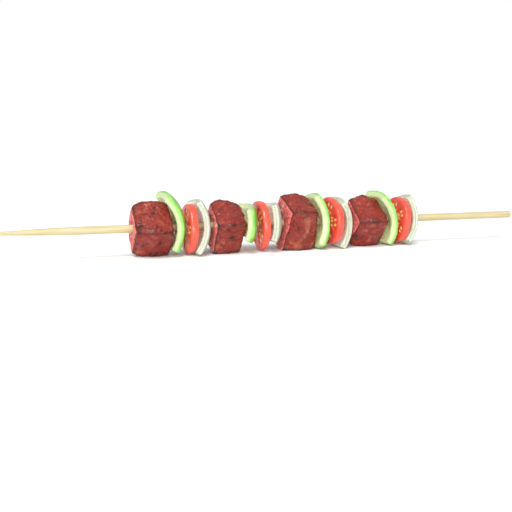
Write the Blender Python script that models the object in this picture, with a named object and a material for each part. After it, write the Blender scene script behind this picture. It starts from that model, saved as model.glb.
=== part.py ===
"""Grilled lamb kebab on a bamboo skewer.

Four cubes of lamb, each followed by a piece of green pepper, a slice of tomato and a petal of onion.
The skewer lies along X with its point at the low end. Z is up, and the food rests on the plane z = 0.
"""

import math
import random
from dataclasses import dataclass

import bmesh
import bpy
from mathutils import Euler, Matrix, Vector, noise
from mathutils.bvhtree import BVHTree

MM = 0.001

# Skewer
STICK_LENGTH = 300 * MM
STICK_RADIUS = 2.0 * MM
POINT_LENGTH = 47 * MM
POINT_RADIUS = 0.3 * MM
POINT_ROUNDING = 0.4 * MM
POINT_FULLNESS = 0.12
POINT_STATIONS = (0.35, 0.7)
BLUNT_CHAMFER = 0.4 * MM
STICK_SIDES = 14
AXIS_HEIGHT = 14.4 * MM

# Fit of the food on the skewer
FOOD_START = 73.8 * MM
HOLE_RADIUS = 2.4 * MM
HOLE_SIDES = 16
CONTACT_GAP = 0.35 * MM
NEIGHBOURS = 3

# Lamb
CUBE_GRID = 11
EDGE_CRISPNESS = 34
END_SLANT = 0.10
FACE_SHIFT = 0.7 * MM
FACE_PITCH = (7, 20)
FOLD_SHIFT = 2.0 * MM
CORNER_TRIM = (0.82, 0.92)
LONG_EDGE_TRIM = (0.89, 0.97)
CRUST_RELIEF = 0.4 * MM
CRUST_GRAIN = 6.5 * MM
CRUST_SMOOTHNESS = 0.7
CRUST_LACUNARITY = 2.0
CRUST_OCTAVES = 2

# Green pepper
PEPPER_WALL = 4.0 * MM
PEPPER_GRID = (6, 9)

# Onion
ONION_WALL = 3.1 * MM
ONION_GRID = (7, 9)

# Cut outline of pepper and onion
OUTLINE_ROUNDING = 0.16
OUTLINE_WAVER = 0.6 * MM
OUTLINE_GRAIN = 14 * MM
OUTLINE_SEED = 5
SHELL_RELIEF = 0.35 * MM
SHELL_GRAIN = 9 * MM
CUT_EDGE_BEVEL = 0.4 * MM
CUT_EDGE_ANGLE = math.radians(50)
CUT_EDGE_ROUNDNESS = 0.5

# Tomato
TOMATO_RADIUS = 12.7 * MM
TOMATO_THICKNESS = 3.9 * MM
TOMATO_BULGE = 0.35 * MM
TOMATO_EDGE = 0.35 * MM
TOMATO_LOBES = 0.018
TOMATO_LOBE_COUNTS = (2, 3, 5)
TOMATO_SIDES = 28

SHARP_ANGLE = math.radians(32)
WELD = 0.01 * MM

# Finishes: name, linear red, green and blue, roughness
BAMBOO_FINISH = ("bamboo", 0.90, 0.78, 0.50, 0.6)
LAMB_FINISH = ("grilled lamb", 0.26, 0.075, 0.05, 0.55)
PEPPER_FINISH = ("green pepper", 0.36, 0.66, 0.17, 0.35)
TOMATO_FINISH = ("tomato", 0.86, 0.06, 0.035, 0.3)
ONION_FINISH = ("onion", 0.85, 0.87, 0.75, 0.35)
BORE_FINISH = ("bore", 0.5, 0.5, 0.5, 0.5)


@dataclass
class Cube:
    """A cube of meat: its length on the skewer, its two cross sizes, roll in degrees, and sag below it."""

    length: float
    breadth: float
    depth: float
    roll: float
    drop: float
    seed: int


@dataclass
class Seat:
    """How a piece sits on the skewer: roll, lean and turn in degrees about X, Y and Z, and its shift."""

    roll: float
    lean: float
    turn: float
    aside: float
    up: float
    seed: int


@dataclass
class Shell:
    """A cut piece of a curved wall: the size of its hollow side, and how far its edges fall back."""

    width: float
    height: float
    drop_across: float
    drop_up: float


CUBES = (
    Cube(18.6 * MM, 23.4 * MM, 22.8 * MM, 45, 1.2 * MM, 11),
    Cube(16.2 * MM, 24.2 * MM, 23.0 * MM, 33, 1.7 * MM, 12),
    Cube(16.8 * MM, 24.4 * MM, 28.4 * MM, 24, 1.4 * MM, 13),
    Cube(18.8 * MM, 23.2 * MM, 23.8 * MM, 40, 1.2 * MM, 14),
)
PEPPERS = (
    Shell(18.0 * MM, 27.0 * MM, 3.0 * MM, 6.2 * MM),
    Shell(16.2 * MM, 26.0 * MM, 2.0 * MM, 4.2 * MM),
    Shell(18.2 * MM, 26.4 * MM, 2.7 * MM, 5.1 * MM),
    Shell(17.4 * MM, 26.4 * MM, 2.8 * MM, 5.4 * MM),
)
PEPPER_SEATS = (
    Seat(5, -9, 5, 0.3 * MM, 3.2 * MM, 21),
    Seat(93, 2, -4, 0.4 * MM, 1.2 * MM, 22),
    Seat(-7, -4, 4, -0.5 * MM, 0.7 * MM, 23),
    Seat(5, -13, 5, 0.2 * MM, 1.4 * MM, 24),
)
TOMATO_SEATS = (
    Seat(0, 2, 1, 0.0 * MM, -1.1 * MM, 31),
    Seat(70, -2, -2, 0.4 * MM, -0.7 * MM, 32),
    Seat(140, 1, 5, -0.3 * MM, 0.0 * MM, 33),
    Seat(210, 3, 2, 0.2 * MM, -0.7 * MM, 34),
)
ONIONS = (
    Shell(20.6 * MM, 26.0 * MM, 3.2 * MM, 5.6 * MM),
    Shell(19.4 * MM, 25.0 * MM, 2.4 * MM, 4.4 * MM),
    Shell(20.8 * MM, 25.4 * MM, 2.6 * MM, 4.6 * MM),
    Shell(20.2 * MM, 25.0 * MM, 3.2 * MM, 5.0 * MM),
)
ONION_SEATS = (
    Seat(-5, 3, 2, 0.0 * MM, -1.0 * MM, 41),
    Seat(87, 2, -3, -0.4 * MM, 0.5 * MM, 42),
    Seat(4, -2, 3, 0.3 * MM, -0.9 * MM, 43),
    Seat(-8, 3, -4, 0.0 * MM, -0.9 * MM, 44),
)


def clear_scene():
    for item in list(bpy.data.objects):
        bpy.data.objects.remove(item, do_unlink=True)


def material(name, red, green, blue, roughness):
    """A plain finish in linear colour."""
    made = bpy.data.materials.new(name)
    made.use_nodes = True
    shader = made.node_tree.nodes["Principled BSDF"]
    shader.inputs["Base Color"].default_value = (red, green, blue, 1)
    shader.inputs["Roughness"].default_value = roughness
    shader.inputs["Metallic"].default_value = 0
    return made


def make_object(name, shape, finish):
    mesh = bpy.data.meshes.new(name)
    shape.to_mesh(mesh)
    mesh.materials.append(finish)
    mesh.shade_smooth()
    mesh.set_sharp_from_angle(angle=SHARP_ANGLE)
    made = bpy.data.objects.new(name, mesh)
    bpy.context.scene.collection.objects.link(made)
    return made


def turned(profile, sides):
    """A closed shape turned about X from (x, radius) pairs that start and end on the axis."""
    shape = bmesh.new()
    points = [shape.verts.new((x, 0, radius)) for x, radius in profile]
    edges = [shape.edges.new(pair) for pair in zip(points, points[1:])]
    bmesh.ops.spin(
        shape,
        geom=points + edges,
        axis=(1, 0, 0),
        cent=(0, 0, 0),
        steps=sides,
        angle=math.tau,
        use_merge=True,
    )
    bmesh.ops.remove_doubles(shape, verts=shape.verts, dist=WELD)
    bmesh.ops.recalc_face_normals(shape, faces=shape.faces)
    return shape


def stick_shape():
    """The skewer with its point at x = 0: the taper swells slightly, and the far end is chamfered."""
    profile = [(0, 0), (POINT_ROUNDING / 2, POINT_RADIUS)]
    for part in POINT_STATIONS:
        swell = POINT_FULLNESS * math.sin(math.pi * part)
        radius = POINT_RADIUS + (STICK_RADIUS - POINT_RADIUS) * (part + swell)
        profile.append((POINT_LENGTH * part, radius))
    profile.append((POINT_LENGTH, STICK_RADIUS))
    profile.append((STICK_LENGTH - BLUNT_CHAMFER, STICK_RADIUS))
    profile.append((STICK_LENGTH, STICK_RADIUS - BLUNT_CHAMFER))
    profile.append((STICK_LENGTH, 0))
    return turned(profile, STICK_SIDES)


def cut_planes(cube):
    """The planes a cube of meat was cut by: outward normals with distances from the cube's middle.

    Each long side is two strokes that meet near its middle, so the cube swells there as meat does.
    """
    draw = random.Random(cube.seed)
    planes = []
    for end in (-1, 1):
        slant = Vector((end, draw.uniform(-END_SLANT, END_SLANT), draw.uniform(-END_SLANT, END_SLANT)))
        planes.append((slant.normalized(), cube.length / 2))
    halves = (cube.breadth / 2, cube.depth / 2)
    for quarter in range(4):
        angle = math.radians(cube.roll + 90 * quarter)
        side = Vector((0, math.cos(angle), math.sin(angle)))
        reach = halves[quarter % 2] + draw.uniform(-FACE_SHIFT, FACE_SHIFT)
        fold = draw.uniform(-FOLD_SHIFT, FOLD_SHIFT)
        for end in (-1, 1):
            pitch = math.radians(draw.uniform(*FACE_PITCH))
            slant = side * math.cos(pitch) + Vector((end * math.sin(pitch), 0, 0))
            planes.append((slant, reach * math.cos(pitch) + end * fold * math.sin(pitch)))
    half_diagonal = math.hypot(*halves)
    corner_reach = (cube.length / 2 + half_diagonal) / math.sqrt(2)
    for quarter in range(4):
        lean = math.atan2(halves[1], halves[0]) * (1 if quarter % 2 == 0 else -1)
        angle = math.radians(cube.roll + 180 * (quarter // 2)) + lean
        edge = Vector((0, math.cos(angle), math.sin(angle)))
        planes.append((edge, half_diagonal * draw.uniform(*LONG_EDGE_TRIM)))
        for end in (-1, 1):
            corner = (edge + Vector((end, 0, 0))).normalized()
            planes.append((corner, corner_reach * draw.uniform(*CORNER_TRIM)))
    return planes


def reach_along(direction, planes):
    """Distance from the middle to the cut surface, with the edges softened as meat does."""
    total = 0
    for normal, distance in planes:
        total += max(0, normal.dot(direction) / distance) ** EDGE_CRISPNESS
    return total ** (-1 / EDGE_CRISPNESS)


def lamb_shape(cube):
    """A hand-cut cube of meat with a craggy crust, flat where it rests."""
    shape = bmesh.new()
    bmesh.ops.create_cube(shape, size=2)
    bmesh.ops.subdivide_edges(shape, edges=shape.edges, cuts=CUBE_GRID - 1, use_grid_fill=True)
    planes = cut_planes(cube)
    roll = Matrix.Rotation(math.radians(cube.roll), 3, "X")
    shift = Vector((cube.seed, 0, 0))
    for vertex in shape.verts:
        spread = Vector(math.tan(part * math.pi / 4) for part in vertex.co)
        direction = (roll @ spread).normalized()
        place = direction * reach_along(direction, planes)
        crag = noise.fractal(place / CRUST_GRAIN + shift, CRUST_SMOOTHNESS, CRUST_LACUNARITY, CRUST_OCTAVES)
        vertex.co = place + direction * CRUST_RELIEF * crag - Vector((0, 0, cube.drop))
    return shape


def arc_drop(offset, half_width, drop):
    """How far a round arc falls behind its middle, for an arc that falls by drop at half_width."""
    radius = (half_width**2 + drop**2) / (2 * drop)
    return radius - math.sqrt(radius**2 - offset**2)


def shell_shape(shell, wall, grid, seed):
    """A cut piece of a curved wall, hollow towards -X, with its middle at the origin."""
    half_width, half_height = shell.width / 2, shell.height / 2
    shape = bmesh.new()
    bmesh.ops.create_grid(shape, x_segments=grid[0], y_segments=grid[1], size=1)
    shift = Vector((seed, 0, 0))
    for vertex in shape.verts:
        u, v = vertex.co.x, vertex.co.y
        across = u * math.sqrt(1 - OUTLINE_ROUNDING * v**2) * half_width
        up = v * math.sqrt(1 - OUTLINE_ROUNDING * u**2) * half_height
        flat = Vector((0, across, up))
        waver = noise.noise_vector(flat / OUTLINE_GRAIN + shift) * OUTLINE_WAVER
        across += waver.y * abs(u)
        up += waver.z * abs(v)
        fall = arc_drop(across, half_width, shell.drop_across) + arc_drop(up, half_height, shell.drop_up)
        relief = noise.noise(flat / SHELL_GRAIN - shift) * SHELL_RELIEF
        vertex.co = (relief - fall, across, up)
    bmesh.ops.recalc_face_normals(shape, faces=shape.faces)
    shape.normal_update()
    if sum(face.normal.x for face in shape.faces) > 0:
        bmesh.ops.reverse_faces(shape, faces=shape.faces)
    bmesh.ops.solidify(shape, geom=shape.faces[:], thickness=wall)
    bmesh.ops.recalc_face_normals(shape, faces=shape.faces)
    shape.normal_update()
    rims = [edge for edge in shape.edges if edge.calc_face_angle(0) > CUT_EDGE_ANGLE]
    bmesh.ops.bevel(
        shape,
        geom=rims,
        offset=CUT_EDGE_BEVEL,
        segments=1,
        affect="EDGES",
        profile=CUT_EDGE_ROUNDNESS,
    )
    return shape


def tomato_shape(seed):
    """A slice across a small tomato: flat faces, a bulging skin and a slightly lobed outline."""
    half = TOMATO_THICKNESS / 2
    shoulder = TOMATO_RADIUS - TOMATO_EDGE
    profile = [
        (-half, 0),
        (-half, shoulder / 2),
        (-half, shoulder),
        (-half + TOMATO_EDGE / 2, TOMATO_RADIUS),
        (0, TOMATO_RADIUS + TOMATO_BULGE),
        (half - TOMATO_EDGE / 2, TOMATO_RADIUS),
        (half, shoulder),
        (half, shoulder / 2),
        (half, 0),
    ]
    shape = turned(profile, TOMATO_SIDES)
    draw = random.Random(seed)
    lobes = [(count, draw.uniform(0, math.tau)) for count in TOMATO_LOBE_COUNTS]
    for vertex in shape.verts:
        angle = math.atan2(vertex.co.z, vertex.co.y)
        swell = 1 + TOMATO_LOBES * sum(math.cos(count * angle + start) for count, start in lobes)
        vertex.co.y *= swell
        vertex.co.z *= swell
    return shape


def settle(shape, seat):
    turn = Euler([math.radians(angle) for angle in (seat.roll, seat.lean, seat.turn)]).to_matrix()
    place = Matrix.Translation((0, seat.aside, seat.up)) @ turn.to_4x4()
    bmesh.ops.transform(shape, matrix=place, verts=shape.verts)


def seat_on_ground(shape):
    """Lifts the shape to the skewer's height and flattens what would reach below the ground."""
    for vertex in shape.verts:
        vertex.co.z = max(0, vertex.co.z + AXIS_HEIGHT)


def free_run(shape, placed):
    """How far the shape can slide towards -X before it meets the pieces placed last."""
    moving = BVHTree.FromBMesh(shape)
    run = math.inf
    for other in placed[-NEIGHBOURS:]:
        fixed = BVHTree.FromBMesh(other)
        rays = [(fixed, vertex.co, -1) for vertex in shape.verts]
        rays += [(moving, vertex.co, 1) for vertex in other.verts]
        for tree, start, way in rays:
            distance = tree.ray_cast(start, Vector((way, 0, 0)))[3]
            if distance is not None:
                run = min(run, distance)
    return run


def thread(shape, placed):
    """Slides the shape along the skewer up to the pieces already on it."""
    bmesh.ops.triangulate(shape, faces=shape.faces)
    if placed:
        bmesh.ops.translate(shape, verts=shape.verts, vec=(STICK_LENGTH, 0, 0))
        slide = CONTACT_GAP - free_run(shape, placed)
    else:
        slide = FOOD_START - STICK_LENGTH / 2 - min(vertex.co.x for vertex in shape.verts)
    bmesh.ops.translate(shape, verts=shape.verts, vec=(slide, 0, 0))
    placed.append(shape)


def hole_cutter():
    """The bore that the skewer leaves through the food."""
    half = STICK_LENGTH / 2
    profile = [(-half, 0), (-half, HOLE_RADIUS), (half, HOLE_RADIUS), (half, 0)]
    shape = turned(profile, HOLE_SIDES)
    bmesh.ops.translate(shape, verts=shape.verts, vec=(0, 0, AXIS_HEIGHT))
    cutter = make_object("skewer_bore", shape, material(*BORE_FINISH))
    cutter.hide_render = True
    cutter.display_type = "WIRE"
    return cutter


def bore(piece, cutter):
    cut = piece.modifiers.new("skewer bore", "BOOLEAN")
    cut.operation = "DIFFERENCE"
    cut.solver = "EXACT"
    cut.object = cutter


def build_stick():
    shape = stick_shape()
    bmesh.ops.translate(shape, verts=shape.verts, vec=(-STICK_LENGTH / 2, 0, AXIS_HEIGHT))
    make_object("bamboo_stick", shape, material(*BAMBOO_FINISH))


def build_food():
    """Threads the food from the pointed side, one lamb cube with its vegetables at a time."""
    finishes = {
        "lamb_chunk": material(*LAMB_FINISH),
        "green_pepper": material(*PEPPER_FINISH),
        "tomato_slice": material(*TOMATO_FINISH),
        "onion_piece": material(*ONION_FINISH),
    }
    cutter = hole_cutter()
    noise.seed_set(OUTLINE_SEED)
    placed = []
    for index, cube in enumerate(CUBES):
        pepper = shell_shape(PEPPERS[index], PEPPER_WALL, PEPPER_GRID, PEPPER_SEATS[index].seed)
        settle(pepper, PEPPER_SEATS[index])
        tomato = tomato_shape(TOMATO_SEATS[index].seed)
        settle(tomato, TOMATO_SEATS[index])
        onion = shell_shape(ONIONS[index], ONION_WALL, ONION_GRID, ONION_SEATS[index].seed)
        settle(onion, ONION_SEATS[index])
        shapes = (lamb_shape(cube), pepper, tomato, onion)
        for kind, shape in zip(finishes, shapes):
            seat_on_ground(shape)
            thread(shape, placed)
            piece = make_object(f"{kind}_{index + 1}", shape, finishes[kind])
            bore(piece, cutter)


clear_scene()
build_stick()
build_food()
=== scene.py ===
"""Finished looks of a grilled lamb kebab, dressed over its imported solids.

Each piece of food starts from a copy of its solid. It is refined to a fine skin, pierced so that it grips the
stick, and gets its relief from noise. The stick is modelled anew. The stage is a pale floor under soft light.
"""

import math
import random

import bpy
from bpy.props import FloatProperty, FloatVectorProperty, PointerProperty
from mathutils import Euler, Matrix, Vector
from mathutils.bvhtree import BVHTree
from mathutils.kdtree import KDTree


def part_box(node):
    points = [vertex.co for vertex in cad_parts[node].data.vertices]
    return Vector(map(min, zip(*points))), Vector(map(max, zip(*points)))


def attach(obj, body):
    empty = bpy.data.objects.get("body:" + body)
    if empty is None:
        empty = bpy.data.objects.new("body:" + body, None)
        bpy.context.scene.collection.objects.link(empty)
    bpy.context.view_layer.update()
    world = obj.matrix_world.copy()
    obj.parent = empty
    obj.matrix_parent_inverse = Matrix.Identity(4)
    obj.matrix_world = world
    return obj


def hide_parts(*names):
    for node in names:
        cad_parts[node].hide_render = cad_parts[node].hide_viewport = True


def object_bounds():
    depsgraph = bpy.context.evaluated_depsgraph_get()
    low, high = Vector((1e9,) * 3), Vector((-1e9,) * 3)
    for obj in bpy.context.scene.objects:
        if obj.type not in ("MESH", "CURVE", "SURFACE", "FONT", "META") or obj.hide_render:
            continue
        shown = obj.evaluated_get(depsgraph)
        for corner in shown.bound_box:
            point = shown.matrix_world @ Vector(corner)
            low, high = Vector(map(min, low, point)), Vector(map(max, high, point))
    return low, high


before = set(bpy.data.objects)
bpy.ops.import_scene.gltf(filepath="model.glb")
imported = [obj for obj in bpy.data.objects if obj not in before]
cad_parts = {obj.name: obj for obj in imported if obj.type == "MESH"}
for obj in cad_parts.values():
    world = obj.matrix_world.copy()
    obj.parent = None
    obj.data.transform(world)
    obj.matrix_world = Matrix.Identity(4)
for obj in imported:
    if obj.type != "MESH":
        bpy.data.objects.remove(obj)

bl_info = {
    "name": "Lamb kebab skewer",
    "version": (1, 0, 0),
    "blender": (4, 5, 0),
    "location": "3D View > Sidebar > Kebab",
    "description": "Dresses a grilled lamb kebab: meat, vegetables, bamboo stick and stage",
    "category": "Object",
}

MM = 0.001
SETS = range(1, 5)

# Fit on the stick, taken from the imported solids
CAD_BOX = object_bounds()
STICK_LOW, STICK_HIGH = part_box("bamboo_stick")
STICK_MIDDLE = (STICK_LOW + STICK_HIGH) / 2
STICK_RADIUS = (STICK_HIGH.z - STICK_LOW.z) / 2
BORE_REACH = 1.25 * STICK_RADIUS
GRIP_RADIUS = STICK_RADIUS + 0.03 * MM
GRIP_SIDES = 48
GRIP_FADE = 1.2 * MM
FLOOR_LIFT = 0.02 * MM

# Refining a solid
WELD = 0.01 * MM
SLIGHT = 0.5
RIM_WELD = 0.004 * MM
SOLID_SUBDIVISION = 2
SIDE_SHARPNESS = math.radians(28)
RIM_SHARPNESS = math.radians(55)

# Lamb
LAMB_EVENING = 6
LAMB_DIMPLE = 1.1 * MM
LAMB_DIMPLE_REACH = 2.6 * MM
LAMB_FIBRE_STRETCH = 3.6
LAMB_FIBRE_TURN = 1.2
LAMB_FIBRE_STRAY = 0.6
LAMB_LUMP_SIZE = 5.5 * MM
LAMB_BUNDLE_SIZE = 1.5 * MM
LAMB_CRUMB_SIZE = 0.7 * MM
LAMB_CUT_FACE = (0.80, 0.93)
LAMB_RIDGE_EVENING = 160
LAMB_RIDGE_HEIGHT = 0.8 * MM
# Painted shade in the lamb's pits: full where a point sinks this far below its evened surface
LAMB_PIT_SHADE_EVENING = 10
LAMB_PIT_SHADE_DEPTH = -0.14 * MM

# Pepper and onion
PEPPER_EVENING = 6
PEPPER_DIMPLE = 0.5 * MM
ONION_EVENING = 5
ONION_DIMPLE = 0.25 * MM
SHELL_DIMPLE_REACH = 1.6 * MM
PEPPER_WAVE_SIZE = 7 * MM
PEPPER_RIB_SIZE = 1.8 * MM
PEPPER_RIB_STRETCH = 7.0
ONION_VEIN_SIZE = 0.9 * MM
ONION_VEIN_STRETCH = 12.0
HOLLOW_SIDE = (0.85, 0.97)
LAYER_LINE_DEPTH = 0.5
LAYER_LINE_WIDTH = 0.075

# Tomato
TOMATO_EVENING = 5
TOMATO_DIMPLE = 0.35 * MM
TOMATO_DIMPLE_REACH = 1.4 * MM
TOMATO_CUT_FACE = (0.75, 0.92)
TOMATO_WAVE_SIZE = 5 * MM
TOMATO_WAVE_HEIGHT = 0.25 * MM
CHAMBERS = (5, 4, 5, 6)
CHAMBER_MIDDLE = 0.54
CHAMBER_DEPTH = 0.27
CHAMBER_SPREAD = 0.80
CHAMBER_EDGE = (1.25, 0.75)
CHAMBER_POWER = 3
SEEDS_PER_CHAMBER = 5
SEED_ROWS = (0.40, 0.66)
SEED_SPREAD = 0.5
SEED_ROW_STRAY = 0.04
SEED_SIDE_STRAY = 0.08
SEED_SIZE = (1.3 * MM, 0.7 * MM)
SEED_EDGE = (0.7, 1.1)

# Stick
STICK_SIDES = 56
STICK_RING_SPACING = 3 * MM
POINT_LENGTH = 47 * MM
POINT_RADIUS = 0.3 * MM
POINT_ROUNDING = 0.4 * MM
POINT_FULLNESS = 0.12
POINT_RINGS = 12
BLUNT_BEVEL = 0.4 * MM
BLUNT_BEVEL_STEPS = 3
BLUNT_FACE = (0.6, 0.9)
STRAND_SIZE = 0.5 * MM
STRAND_STRETCH = 40.0

# Sockets of the mixing node, by number, since several share a name
FACTOR = 0
NUMBER_A, NUMBER_B = 2, 3
COLOUR_A, COLOUR_B = 6, 7
MIXED = 2
IN_COLOUR = {"data_type": "RGBA"}
MULTIPLIED = {"data_type": "RGBA", "blend_type": "MULTIPLY"}

# Widths of the marks in the materials, in millimetres
CRUST_PATCH = 8
CRUST_BUNDLE = 1.7
CRUST_FIBRE = 0.55
FAT_VEIN = 5
JUICE_SPOT = 3.5
PEPPER_PATCH = 7
PEPPER_CELL = 0.7
PEPPER_RIB = 1.6
TOMATO_PATCH = 6
TOMATO_PULP = 0.9
ONION_VEIN = 0.8
BAMBOO_STRAND = 0.7
BAMBOO_BAND = 22
BAMBOO_PORE = 0.55
FLOOR_MOTTLE = 40

# Camera, matched to the photograph on a 50 mm lens
CAMERA_PLACE = (-132.25 * MM, -352.03 * MM, 56.04 * MM)
CAMERA_AZIMUTH = math.radians(19.10)
CAMERA_ELEVATION = math.radians(8.96)
CAMERA_LENS = 50
CAMERA_SENSOR = 36
CAMERA_NEAREST = 0.01

# Stage
FLOOR_SIZE = 60.0
SUN_TURN = (math.radians(30), math.radians(-14), math.radians(-8))
SUN_SPREAD = math.radians(28)
SOFTBOX_PLACE = (-0.25, -0.45, 0.75)
SOFTBOX_SIZE = (0.7, 0.45)
FRONT_LIGHT_PLACE = (-0.32, -0.85, 0.24)
FRONT_LIGHT_SIZE = (0.8, 0.5)


def linear(code):
    """An sRGB hex colour as linear red, green, blue and full cover."""
    shares = [int(code[place : place + 2], 16) / 255 for place in (1, 3, 5)]
    lights = [share / 12.92 if share <= 0.04045 else ((share + 0.055) / 1.055) ** 2.4 for share in shares]
    return (*lights, 1.0)


def colour(name, code, description):
    """A colour setting, given as an sRGB hex colour."""
    return FloatVectorProperty(
        name=name, description=description, subtype="COLOR", size=4, min=0, max=1, default=linear(code)
    )


def length(name, default, description):
    """A setting for a length in metres."""
    return FloatProperty(
        name=name, description=description, subtype="DISTANCE", unit="LENGTH", precision=5, default=default
    )


class LambSettings(bpy.types.PropertyGroup):
    """Sizes and colours of the meat."""

    skin_grid: length("Skin grid", 0.38 * MM, "Spacing of the fine surface's points")
    lumps: length("Lumps", 0.7 * MM, "Height of the broad lumps on the crust")
    bundles: length("Bundles", 0.9 * MM, "Height of the fibre bundles")
    crumbs: length("Crumbs", 0.34 * MM, "Height of the fine crust relief")
    crust: colour("Crust", "#8B3026", "Seared outside of the meat")
    # Dark crust: darker seared patches, and the dark rim round the cut faces, which is partly painted shade
    crust_dark: colour("Dark crust", "#601F17", "Browned hollows and patches")
    crust_light: colour("Light crust", "#9C3F34", "Lightly seared patches")
    char: colour("Char", "#3A1711", "Edges that caught the heat")
    cut: colour("Cut face", "#DF7570", "Rosy inside")
    cut_deep: colour("Deep cut face", "#CC5853", "Fibre bundles inside")
    fat: colour("Fat", "#EDBDA6", "Veins of fat")
    crisp_fat: colour("Crisp fat", "#AE6048", "Browned fat on the crust")


class PepperSettings(bpy.types.PropertyGroup):
    """Sizes and colours of the green pepper."""

    skin_grid: length("Skin grid", 0.38 * MM, "Spacing of the fine surface's points")
    undulation: length("Undulation", 0.45 * MM, "Height of the skin's broad waves")
    ribs: length("Ribs", 0.5 * MM, "Height of the ribs on the hollow side")
    skin: colour("Skin", "#8AC65B", "Waxy outside")
    skin_deep: colour("Deep skin", "#6BB044", "Darker patches of the skin")
    flesh: colour("Flesh", "#BFCE9C", "Cut edge")
    # The hollow side is the paler inner face, painted lighter still to offset the shade in the hollow
    hollow: colour("Hollow side", "#E4F5B0", "Inner face")


class TomatoSettings(bpy.types.PropertyGroup):
    """Sizes and colours of the tomato."""

    skin_grid: length("Skin grid", 0.38 * MM, "Spacing of the fine surface's points")
    hollows: length("Hollows", 0.45 * MM, "Depth of the seed chambers")
    seed_height: length("Seed height", 0.35 * MM, "Height of a seed over its chamber")
    skin: colour("Skin", "#DF5240", "Taut outside")
    flesh: colour("Flesh", "#F2483F", "Cut wall")
    gel: colour("Gel", "#EE4C33", "Jelly round the seeds")
    seed: colour("Seed", "#FFC98A", "Seeds")


class OnionSettings(bpy.types.PropertyGroup):
    """Sizes and colours of the onion."""

    skin_grid: length("Skin grid", 0.38 * MM, "Spacing of the fine surface's points")
    veins: length("Veins", 0.15 * MM, "Height of the lengthwise veins")
    layer_line: length("Layer line", 0.3 * MM, "Depth of the line between two layers")
    outside: colour("Outside", "#B9BDAF", "Outer face")
    vein: colour("Vein", "#9FAC80", "Lengthwise veins")
    # The hollow side is painted lighter than the outer face, to offset the shade in the hollow
    hollow: colour("Hollow side", "#F6F8EA", "Inner face")


class StickSettings(bpy.types.PropertyGroup):
    """Sizes and colours of the stick."""

    fibre_height: length("Fibre height", 0.05 * MM, "Height of the fibres")
    pale: colour("Pale fibre", "#C3B790", "Most of the wood")
    dark: colour("Dark fibre", "#B59E6B", "Darker fibre strands")
    pore: colour("Pore", "#A98850", "Pores in the blunt end")


class StageSettings(bpy.types.PropertyGroup):
    """Floor and light."""

    floor: colour("Floor", "#FEFEFD", "Plain floor")
    sky_strength: FloatProperty(name="Sky", description="Strength of the even light", default=0.55, min=0)
    sun_strength: FloatProperty(name="Sun", description="Strength of the soft sun", default=1.80, min=0)
    softbox_power: FloatProperty(
        name="Softbox", description="Power of the softbox", default=0.8, min=0, unit="POWER"
    )
    front_power: FloatProperty(
        name="Front light", description="Power of the low front light", default=7.0, min=0, unit="POWER"
    )


class KebabSettings(bpy.types.PropertyGroup):
    """All settings of the kebab."""

    lamb: PointerProperty(name="Lamb", type=LambSettings)
    pepper: PointerProperty(name="Green pepper", type=PepperSettings)
    tomato: PointerProperty(name="Tomato", type=TomatoSettings)
    onion: PointerProperty(name="Onion", type=OnionSettings)
    stick: PointerProperty(name="Stick", type=StickSettings)
    stage: PointerProperty(name="Stage", type=StageSettings)


def smooth_step(low, high, value):
    """0 up to low, 1 from high on, and a soft rise between them."""
    part = min(1, max(0, (value - low) / (high - low)))
    return part * part * (3 - 2 * part)


def from_axis(place):
    """Distance of a place from the stick's axis."""
    return math.hypot(place.y - STICK_MIDDLE.y, place.z - STICK_MIDDLE.z)


def only(piece):
    """Leaves one piece selected and active."""
    bpy.ops.object.select_all(action="DESELECT")
    piece.select_set(True)
    bpy.context.view_layer.objects.active = piece


def edit(piece, kind):
    """Opens a piece in edit mode with nothing selected."""
    only(piece)
    bpy.ops.object.mode_set(mode="EDIT")
    bpy.ops.mesh.select_mode(type=kind)
    bpy.ops.mesh.select_all(action="DESELECT")


def pick(elements, wanted):
    """Selects the mesh elements that are wanted and no others, from edit mode."""
    bpy.ops.mesh.select_all(action="DESELECT")
    bpy.ops.object.mode_set(mode="OBJECT")
    for element in elements:
        element.select = wanted(element)
    bpy.ops.object.mode_set(mode="EDIT")


def apply_modifier(piece, kind, **settings):
    """Adds a modifier with its settings and applies it at once."""
    made = piece.modifiers.new(kind.lower(), kind)
    for name, value in settings.items():
        setattr(made, name, value)
    only(piece)
    bpy.ops.object.modifier_apply(modifier=made.name)


def carve(piece, size, height, detail, helper=None, group=""):
    """Raises and sinks the surface along its normals by a cloudy noise of the given size."""
    texture = bpy.data.textures.new("relief", "CLOUDS")
    texture.noise_scale = size
    texture.noise_depth = detail
    apply_modifier(
        piece,
        "DISPLACE",
        texture=texture,
        strength=height,
        mid_level=0.5,
        vertex_group=group,
        texture_coords="OBJECT" if helper else "LOCAL",
        texture_coords_object=helper,
    )
    bpy.data.textures.remove(texture)


def push(piece, height, weights):
    """Moves the surface along its normals by height times each point's weight."""
    give_group(piece, "push", weights)
    apply_modifier(piece, "DISPLACE", strength=height, mid_level=0, vertex_group="push")


def give_group(piece, name, weights):
    """Stores a weight for each point, for a modifier to read."""
    group = piece.vertex_groups.get(name) or piece.vertex_groups.new(name=name)
    for index, weight in enumerate(weights):
        group.add([index], weight, "REPLACE")


def give_values(piece, name, values):
    """Stores a number for each point, for the material to read."""
    stored = piece.data.attributes.new(name, "FLOAT", "POINT")
    stored.data.foreach_set("value", values)


def give_places(piece, name, places):
    """Stores a place for each point, for a pattern that follows the piece."""
    stored = piece.data.attributes.new(name, "FLOAT_VECTOR", "POINT")
    stored.data.foreach_set("vector", [part for place in places for part in place])


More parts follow.
